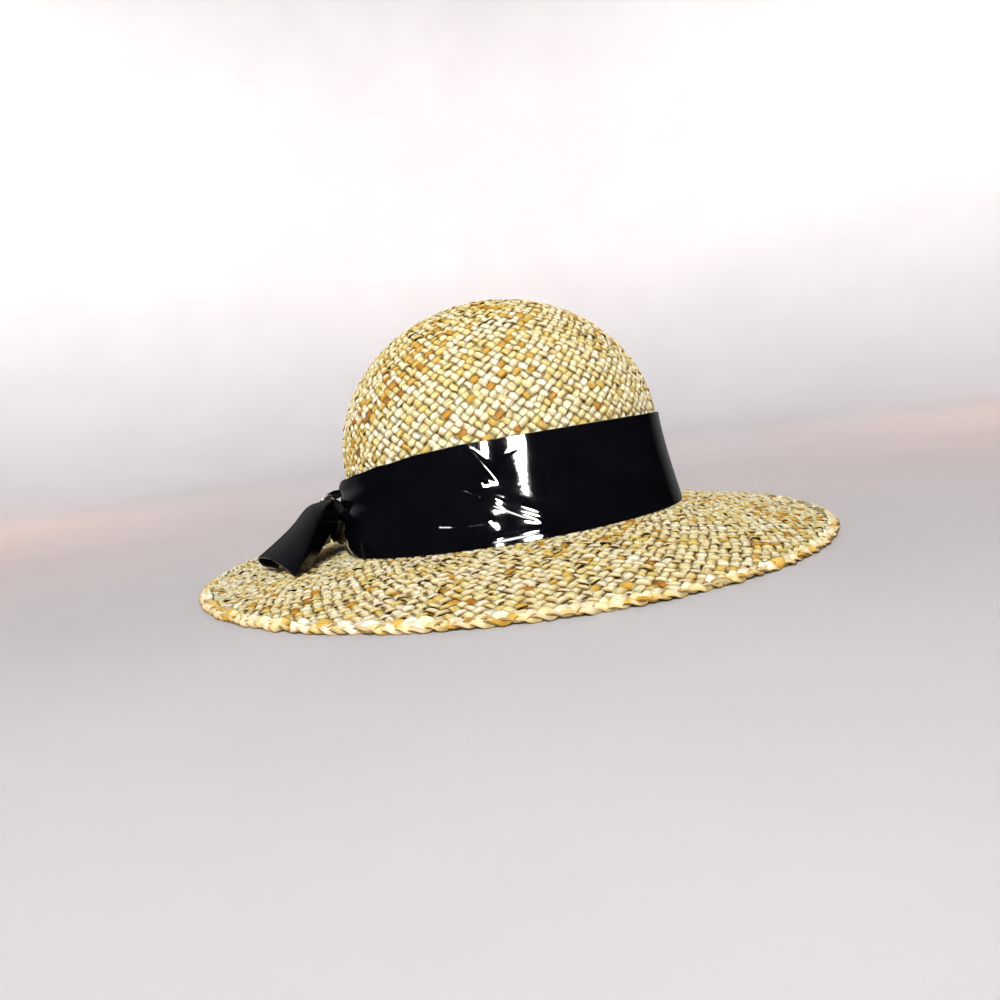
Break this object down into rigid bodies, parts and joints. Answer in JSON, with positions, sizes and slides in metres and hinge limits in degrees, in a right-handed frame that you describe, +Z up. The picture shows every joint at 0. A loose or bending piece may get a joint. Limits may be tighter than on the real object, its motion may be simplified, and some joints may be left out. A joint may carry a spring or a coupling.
{
  "type": "woven straw hat",
  "caption": "Woven straw hat with a rounded crown, a wide slightly drooping brim with a plaited edge, and a glossy black ribbon knotted at the back with hanging tails.",
  "frame": {"origin": "on the ground under the middle of the brim, with the hat resting on its brim edge", "axes": "+Z up along the crown; +X towards the hat's front, along the brim's longer diameter; -X to the knot of the ribbon at the back"},
  "size_m": [0.352, 0.334, 0.1411],
  "materials": {
    "straw": "natural woven straw, semi-matt",
    "patent_ribbon": "high gloss black vinyl"
  },
  "bodies": {
    "root": {"crown": "straw", "brim": "straw", "brim_edging": "straw", "hatband": "patent_ribbon", "knot": "patent_ribbon", "front_tail": "patent_ribbon", "back_tail": "patent_ribbon"}
  },
  "joints": []
}
